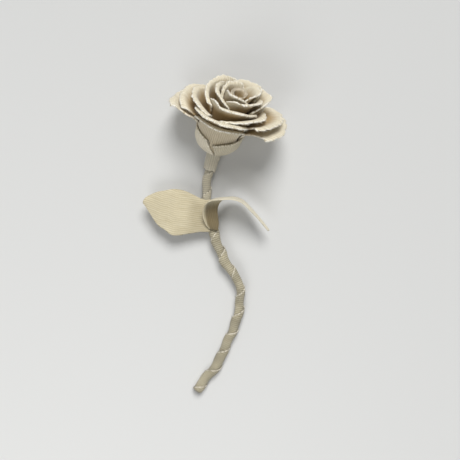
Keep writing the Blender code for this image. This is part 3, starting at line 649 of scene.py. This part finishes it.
def makeFray():
    dice = np.random.default_rng(5)
    for canvas, (count, length) in fray.items():
        points = []
        faces = []
        for name, spot, outward, normal in frayStarts:
            if name != canvas:
                continue
            for _ in range(count if dice.random() < 0.75 else 0):
                drift = dice.normal(0, 0.45, 3)
                way = unit(outward + 0.5 * normal * dice.normal() + drift)
                bend = dice.normal(0, 0.5, 3)
                reach = length * dice.uniform(0.35, 1.3)
                base = spot - outward * 0.4 + dice.normal(0, 0.35, 3)
                first = len(points)
                for k in range(3):
                    part = k / 2
                    centre = base + way * reach * part + bend * reach * part ** 2 * 0.6
                    x = unit(np.cross(way, [0.3, 0.5, 0.81]))
                    y = np.cross(way, x)
                    thin = threadRadius * (1.0 - 0.5 * part)
                    for m in range(3):
                        a = m * 2 * math.pi / 3
                        points.append(centre + thin * (math.cos(a) * x + math.sin(a) * y))
                for k in range(2):
                    for m in range(3):
                        n = (m + 1) % 3
                        faces.append((first + k * 3 + m, first + k * 3 + n, first + k * 3 + 3 + n,
                                      first + k * 3 + 3 + m))
                faces.append((first + 2, first + 1, first))
                faces.append((first + 6, first + 7, first + 8))
        mesh = bpy.data.meshes.new(canvas + "_threads")
        placed = settle(np.array(points))
        if canvas == "petalCanvas":
            placed = press(placed)
        mesh.from_pydata(placed.tolist(), [], faces)
        mesh.uv_layers.new(name="cut")
        mesh.attributes.new("rim", "FLOAT", "POINT").data.foreach_set("value", np.ones(len(points)))
        mesh.materials.append(canvases[canvas])
        threads = bpy.data.objects.new(canvas + "_threads", mesh)
        bpy.context.scene.collection.objects.link(threads)
        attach(threads, "root")


makeFray()
print("edges frayed")

# Plain drawn florist's wire, mild steel with a dull oxide skin: grey, half matt, fine draw lines
wireLook = dict(colour="#8A8780", lineColour="#77746E", roughness=0.42, lines=0.25)


def drawWire():
    material = bpy.data.materials.new("drawnSteelWire")
    material.use_nodes = True
    tree = material.node_tree
    shader = tree.nodes["Principled BSDF"]
    shader.inputs["Metallic"].default_value = 1.0
    place = addNode(tree, "ShaderNodeTexCoord")
    stretch = addNode(tree, "ShaderNodeMapping", [(0, place.outputs["Object"])])
    stretch.inputs[3].default_value = (4000.0, 120.0, 4000.0)
    lines = addNode(tree, "ShaderNodeTexNoise", [(0, stretch.outputs[0])], in2=1.0, in3=2.0)
    tone = addNode(tree, "ShaderNodeMix", [(0, lines.outputs[0])], data_type="RGBA")
    tone.inputs[6].default_value = linear(wireLook["lineColour"])
    tone.inputs[7].default_value = linear(wireLook["colour"])
    tree.links.new(tone.outputs[2], shader.inputs["Base Color"])
    rough = addNode(tree, "ShaderNodeMapRange", [(0, lines.outputs[0])], in3=wireLook["roughness"] - 0.1,
                    in4=wireLook["roughness"] + wireLook["lines"])
    tree.links.new(rough.outputs[0], shader.inputs["Roughness"])
    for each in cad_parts["stem_wire"].material_slots:
        each.material = material


drawWire()
print("wire drawn")

# Pale floor, soft light from the bloom's end and above, and the photograph's camera above the stem
studio = dict(floor="#CCCCCA", keyStrength=2.75, keyPlace=(0.12, 0.60, 0.82), keyAngle=0.5,
              fillPower=3.6, fillPlace=(-0.30, -0.60, 0.85), fillSize=0.6, aim=(0.0, 0.03, 0.03),
              sky=(0.96, 0.98, 1.0, 1.0), skyStrength=0.26,
              backdrop=(0.90, 0.91, 0.92, 1.0), backdropStrength=0.82)
cameraPlace = dict(spot=(0.0339, 0.0575, 0.9146), lens=75.76)


def makeStudio():
    bpy.ops.object.select_all(action="DESELECT")
    bpy.ops.mesh.primitive_plane_add(size=6.0, location=(0, 0, 0))
    floor = bpy.context.object
    floor.name = "studioFloor"
    paper = bpy.data.materials.new("paleFloorPaper")
    paper.use_nodes = True
    tree = paper.node_tree
    shader = tree.nodes["Principled BSDF"]
    shader.inputs["Roughness"].default_value = 0.8
    place = addNode(tree, "ShaderNodeTexCoord")
    cloud = addNode(tree, "ShaderNodeTexNoise", [(0, place.outputs["Object"])], in2=1.5, in3=2.0)
    tone = addNode(tree, "ShaderNodeMapRange", [(0, cloud.outputs[0])], in3=0.985, in4=1.015)
    mix = addNode(tree, "ShaderNodeVectorMath", [(0, tone.outputs[0])], operation="MULTIPLY")
    mix.inputs[1].default_value = linear(studio["floor"])[:3]
    tree.links.new(mix.outputs[0], shader.inputs["Base Color"])
    floor.data.materials.append(paper)
    key = bpy.data.lights.new("key", "SUN")
    key.energy = studio["keyStrength"]
    key.angle = studio["keyAngle"]
    fill = bpy.data.lights.new("fill", "AREA")
    fill.energy = studio["fillPower"]
    fill.size = studio["fillSize"]
    for lamp in (key, fill):
        item = bpy.data.objects.new(lamp.name, lamp)
        item.location = studio[lamp.name + "Place"]
        aim = Vector(studio["aim"]) - item.location
        item.rotation_euler = aim.to_track_quat("-Z", "Y").to_euler()
        bpy.context.scene.collection.objects.link(item)
    world = bpy.data.worlds.new("studioWorld")
    world.use_nodes = True
    tree = world.node_tree
    back = tree.nodes["Background"]
    back.inputs[0].default_value = studio["sky"]
    back.inputs[1].default_value = studio["skyStrength"]
    # the camera and mirrored rays see a pale backdrop, which adds no light
    pale = addNode(tree, "ShaderNodeBackground", in0=studio["backdrop"], in1=studio["backdropStrength"])
    ray = addNode(tree, "ShaderNodeLightPath")
    seen = addNode(tree, "ShaderNodeMath",
                   [(0, ray.outputs["Is Camera Ray"]), (1, ray.outputs["Is Glossy Ray"])], operation="ADD")
    either = addNode(tree, "ShaderNodeMath", [(0, seen.outputs[0]), (1, ray.outputs["Is Transmission Ray"])],
                     operation="ADD", use_clamp=True)
    mix = addNode(tree, "ShaderNodeMixShader",
                  [(0, either.outputs[0]), (1, back.outputs[0]), (2, pale.outputs[0])])
    tree.links.new(mix.outputs[0], tree.nodes["World Output"].inputs[0])
    bpy.context.scene.world = world
    bpy.context.scene.view_settings.view_transform = "Standard"


def makeCamera():
    lens = bpy.data.cameras.new("photoCamera")
    lens.lens = cameraPlace["lens"]
    lens.sensor_width = 36.0
    lens.clip_start = 0.01
    camera = bpy.data.objects.new("photoCamera", lens)
    bpy.context.scene.collection.objects.link(camera)
    turn = Matrix(lyingTurn().tolist()).to_4x4()
    camera.matrix_world = Matrix.Translation(Vector(cameraPlace["spot"])) @ turn
    bpy.context.scene.camera = camera


makeStudio()
makeCamera()
print("studio lit")
